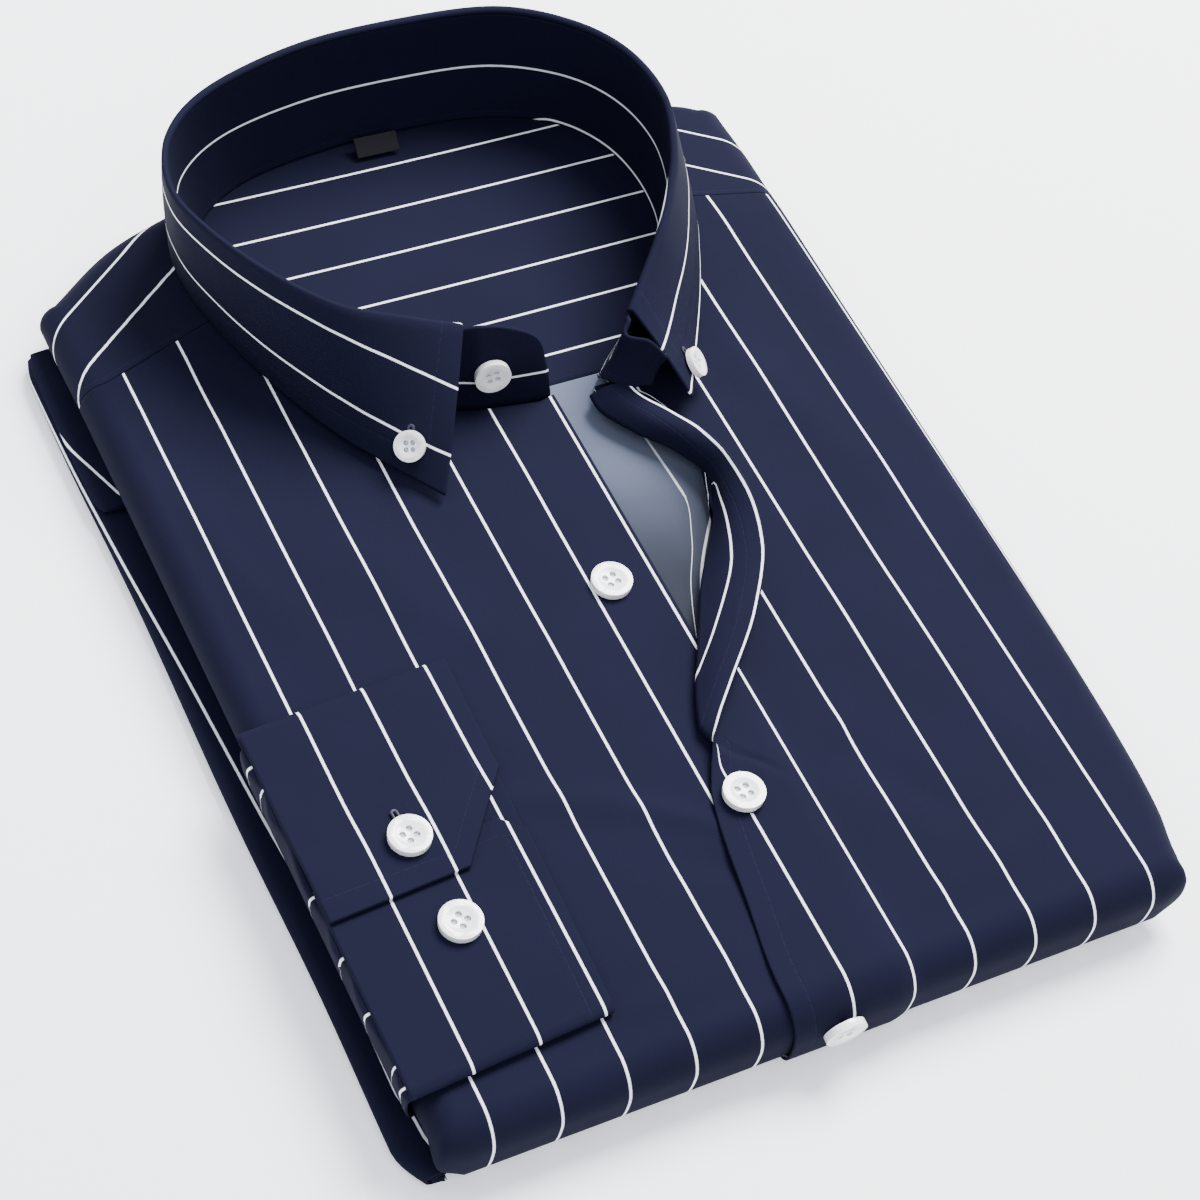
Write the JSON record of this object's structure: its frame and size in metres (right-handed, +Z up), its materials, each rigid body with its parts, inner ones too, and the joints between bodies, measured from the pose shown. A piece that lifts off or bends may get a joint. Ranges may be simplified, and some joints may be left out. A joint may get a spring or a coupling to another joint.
{
  "type": "folded button-down shirt",
  "caption": "Long-sleeved pinstripe shirt folded flat for storage, standing button-down collar open at the neck, one cuff on the chest.",
  "frame": {"origin": "centre of the folded shirt's outline, on the surface it rests on", "axes": "+X across the shirt towards its wearer's left side, +Y from the front fold to the collar, +Z up"},
  "size_m": [0.2292, 0.3305, 0.0604],
  "materials": {
    "hidden_cloth": "cotton shirting in layers, navy with white pinstripes",
    "back_cloth": "cotton shirting, navy with thin white pinstripes",
    "yoke_inner_cloth": "cotton shirting, navy with thin white pinstripes",
    "yoke_cloth": "cotton shirting, navy with thin white pinstripes",
    "right_front_cloth": "cotton shirting, navy with thin white pinstripes",
    "left_front_cloth": "cotton shirting, navy with thin white pinstripes",
    "sleeve_cloth": "cotton shirting, navy with thin white pinstripes",
    "sleeve_end_cloth": "cotton shirting, navy with thin white pinstripes",
    "cuff_cloth": "cotton shirting, navy with thin white pinstripes",
    "stand_cloth": "cotton shirting, navy with thin white pinstripes",
    "leaf_cloth": "cotton shirting, navy with thin white pinstripes",
    "label": "woven tape, bare",
    "button": "pearly, polished"
  },
  "bodies": {
    "root": {"hidden_layers": "hidden_cloth", "back_panel": "back_cloth", "yoke_inner": "yoke_inner_cloth", "yoke_outer": "yoke_cloth", "front_right": "right_front_cloth", "front_left": "left_front_cloth", "sleeve_fold": "sleeve_cloth", "sleeve_end": "sleeve_end_cloth", "cuff": "cuff_cloth", "collar_stand": "stand_cloth", "collar_leaf": "leaf_cloth", "neck_label": "label", "button_front_1": "button", "button_front_2": "button", "button_front_3": "button", "button_cuff_1": "button", "button_cuff_2": "button", "button_stand": "button", "button_leaf_left": "button", "button_leaf_right": "button"}
  },
  "joints": []
}
